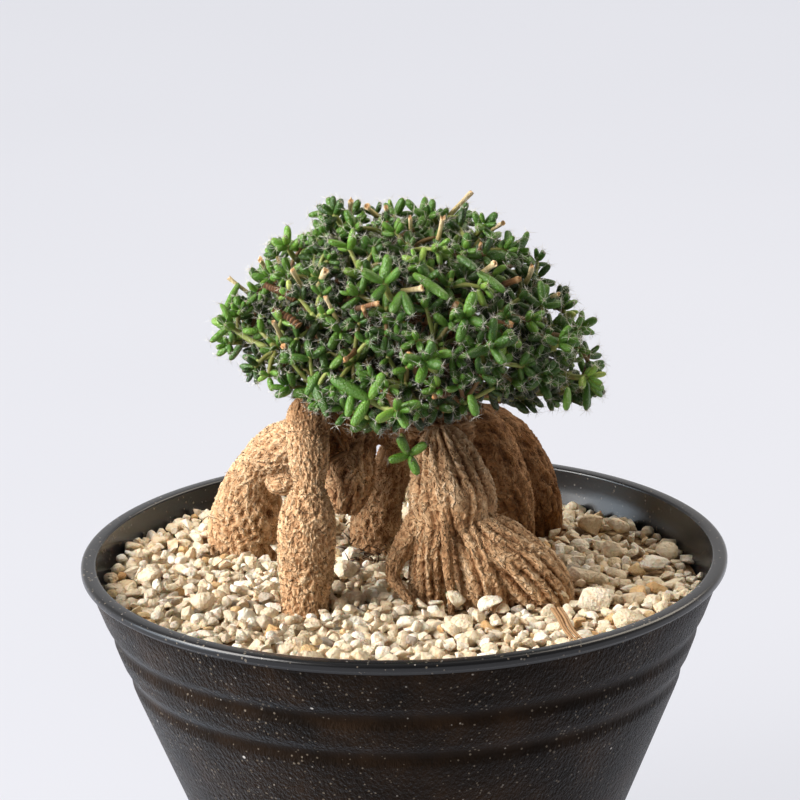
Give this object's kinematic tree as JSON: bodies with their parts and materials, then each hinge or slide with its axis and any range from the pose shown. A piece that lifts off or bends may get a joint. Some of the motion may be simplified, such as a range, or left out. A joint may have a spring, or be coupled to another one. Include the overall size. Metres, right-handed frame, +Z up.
{
  "type": "trichodiadema bulbosum bonsai",
  "caption": "Small succulent bonsai with swollen wrinkled roots raised above pale gravel, a dense low dome of short leafy shoots, and a round dark plastic pot.",
  "frame": {"origin": "middle of the pot's foot, on the surface that it stands on", "axes": "+Z up; the front that the picture shows faces -Y; +X is to the right in that view"},
  "size_m": [0.15, 0.15, 0.173],
  "materials": {
    "pot": "satin black-brown moulded plastic with a fine grain on the wall",
    "soil": "rough dark potting mix of bark and peat",
    "gravel": "matt cream and off-white angular gravel",
    "caudex": "matt wrinkled tan bark",
    "branches": "matt brown twigs and straw-coloured old stalks",
    "leaves": "satin plump green leaves with pale bristles"
  },
  "bodies": {
    "root": {"pot": "pot", "soil": "soil", "gravel": "gravel", "caudex": "caudex", "branches": "branches", "shoot_00": "leaves", "shoot_01": "leaves", "shoot_02": "leaves", "shoot_03": "leaves", "shoot_04": "leaves", "shoot_05": "leaves", "shoot_06": "leaves", "shoot_07": "leaves", "shoot_08": "leaves", "shoot_09": "leaves", "shoot_10": "leaves", "shoot_11": "leaves", "shoot_12": "leaves", "shoot_13": "leaves", "shoot_14": "leaves", "shoot_15": "leaves", "shoot_16": "leaves", "shoot_17": "leaves", "shoot_18": "leaves", "shoot_19": "leaves", "shoot_20": "leaves", "shoot_21": "leaves", "shoot_22": "leaves", "shoot_23": "leaves", "shoot_24": "leaves", "shoot_25": "leaves", "shoot_26": "leaves", "shoot_27": "leaves", "shoot_28": "leaves", "shoot_29": "leaves", "shoot_30": "leaves", "shoot_31": "leaves", "shoot_32": "leaves", "shoot_33": "leaves", "shoot_34": "leaves", "shoot_35": "leaves", "shoot_36": "leaves", "shoot_37": "leaves", "shoot_38": "leaves", "shoot_39": "leaves", "shoot_40": "leaves", "shoot_41": "leaves", "shoot_42": "leaves", "shoot_43": "leaves", "shoot_44": "leaves", "shoot_45": "leaves", "shoot_46": "leaves", "shoot_47": "leaves", "shoot_48": "leaves", "shoot_49": "leaves", "shoot_50": "leaves", "shoot_51": "leaves", "shoot_52": "leaves", "shoot_53": "leaves"}
  },
  "joints": []
}
